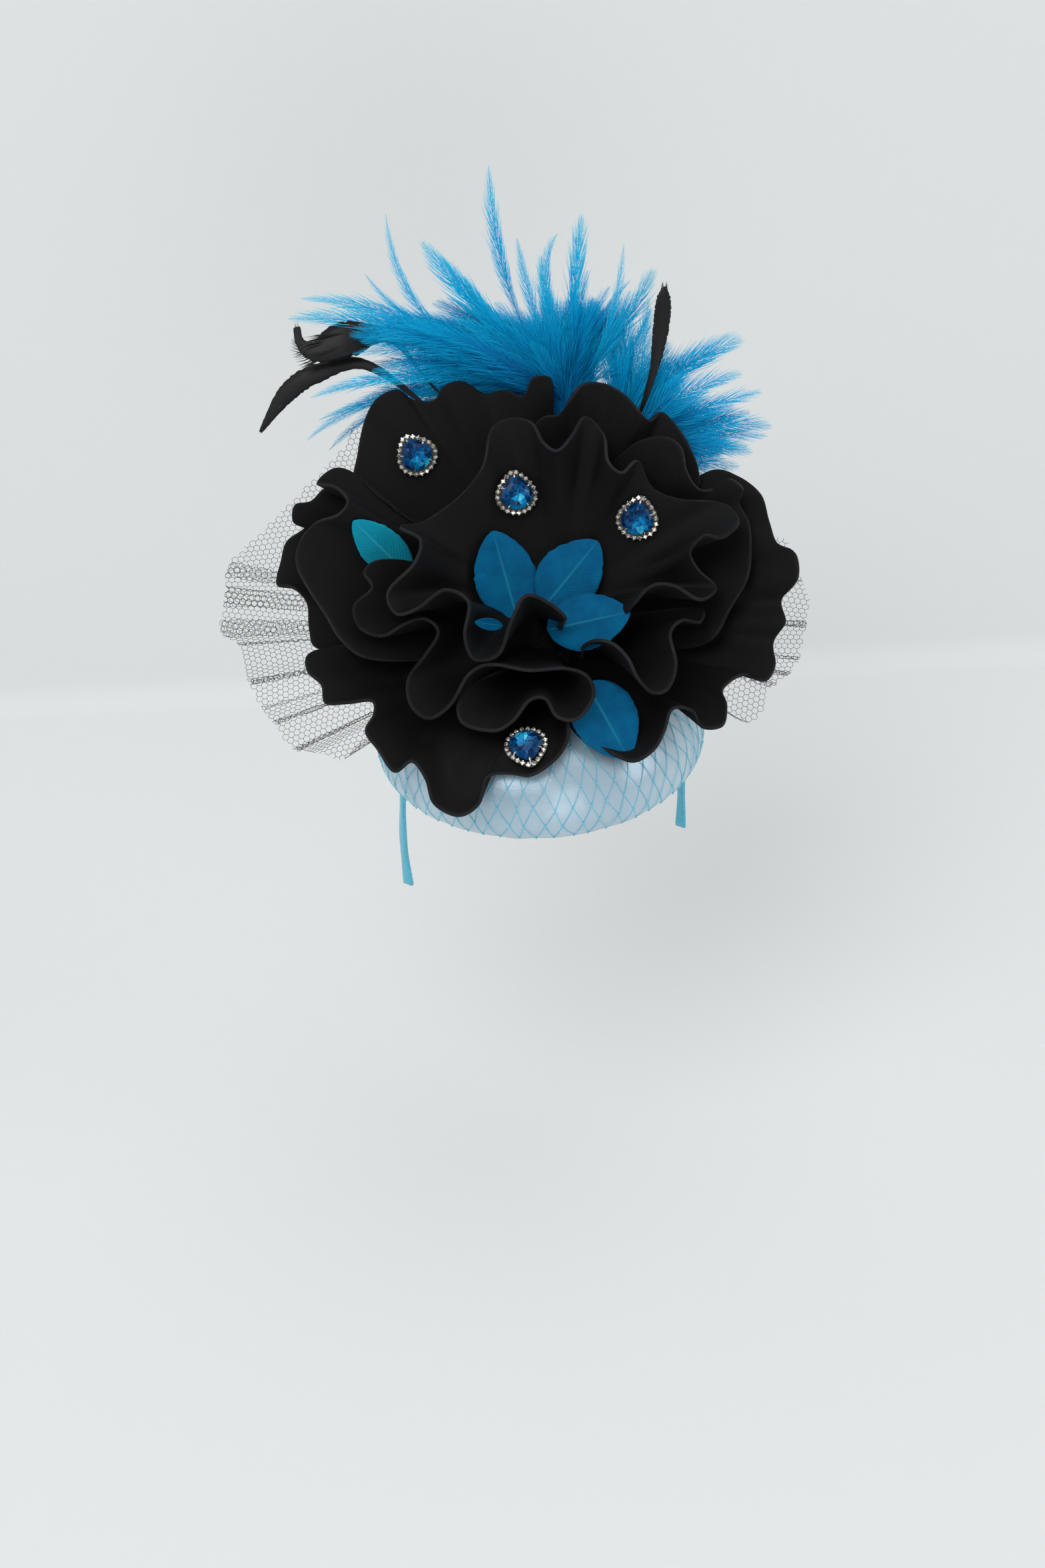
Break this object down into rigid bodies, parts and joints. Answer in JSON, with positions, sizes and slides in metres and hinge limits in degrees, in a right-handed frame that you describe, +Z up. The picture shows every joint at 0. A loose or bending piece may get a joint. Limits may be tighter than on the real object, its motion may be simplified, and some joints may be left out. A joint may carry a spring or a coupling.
{
  "type": "fascinator",
  "caption": "Pillbox fascinator on a thin headband, with a large ruffled foam flower, feather fan, net and pear-shaped jewels; open underneath for the head.",
  "frame": {"origin": "middle of the circle of the base's lower rim, where it sits on the head", "axes": "+Z up through the crown of the base; the flower faces -Y and leans back; +X is to the right as the flower is seen from its front"},
  "size_m": [0.2948, 0.195, 0.3358],
  "materials": {
    "blue_satin": "light powder-blue satin under a turquoise diamond veil",
    "blue_band": "turquoise satin-covered band",
    "black_foam": "matte black craft foam sheet with greyer cut edges",
    "feather_pad": "turquoise trimmed feather pad with a pale rib",
    "blue_hackle": "turquoise hackle feather barbs",
    "black_feather": "black feather",
    "black_net": "fine black hexagon net",
    "crystal_setting": "clear crystals in champagne-silver cups",
    "blue_stone": "aqua-blue faceted crystal"
  },
  "bodies": {
    "root": {"base_dome": "blue_satin", "black_feather_1": "black_feather", "black_feather_2": "black_feather", "black_feather_3": "black_feather", "feather_leaf_1": "feather_pad", "feather_leaf_2": "feather_pad", "feather_leaf_3": "feather_pad", "feather_leaf_4": "feather_pad", "feather_leaf_5": "feather_pad", "feather_leaf_6": "feather_pad", "feather_plume": "blue_hackle", "flower_stem": "black_foam", "headband": "blue_band", "jewel_1_halo": "crystal_setting", "jewel_1_stone": "blue_stone", "jewel_2_halo": "crystal_setting", "jewel_2_stone": "blue_stone", "jewel_3_halo": "crystal_setting", "jewel_3_stone": "blue_stone", "jewel_4_halo": "crystal_setting", "jewel_4_stone": "blue_stone", "net_fan_left": "black_net", "net_fan_right": "black_net", "petal_back_left": "black_foam", "petal_back_top": "black_foam", "petal_centre": "black_foam", "petal_front_low": "black_foam", "petal_front_mid": "black_foam", "petal_front_right": "black_foam", "petal_left": "black_foam", "petal_left_outer": "black_foam", "petal_mid_right": "black_foam", "petal_right": "black_foam"}
  },
  "joints": []
}
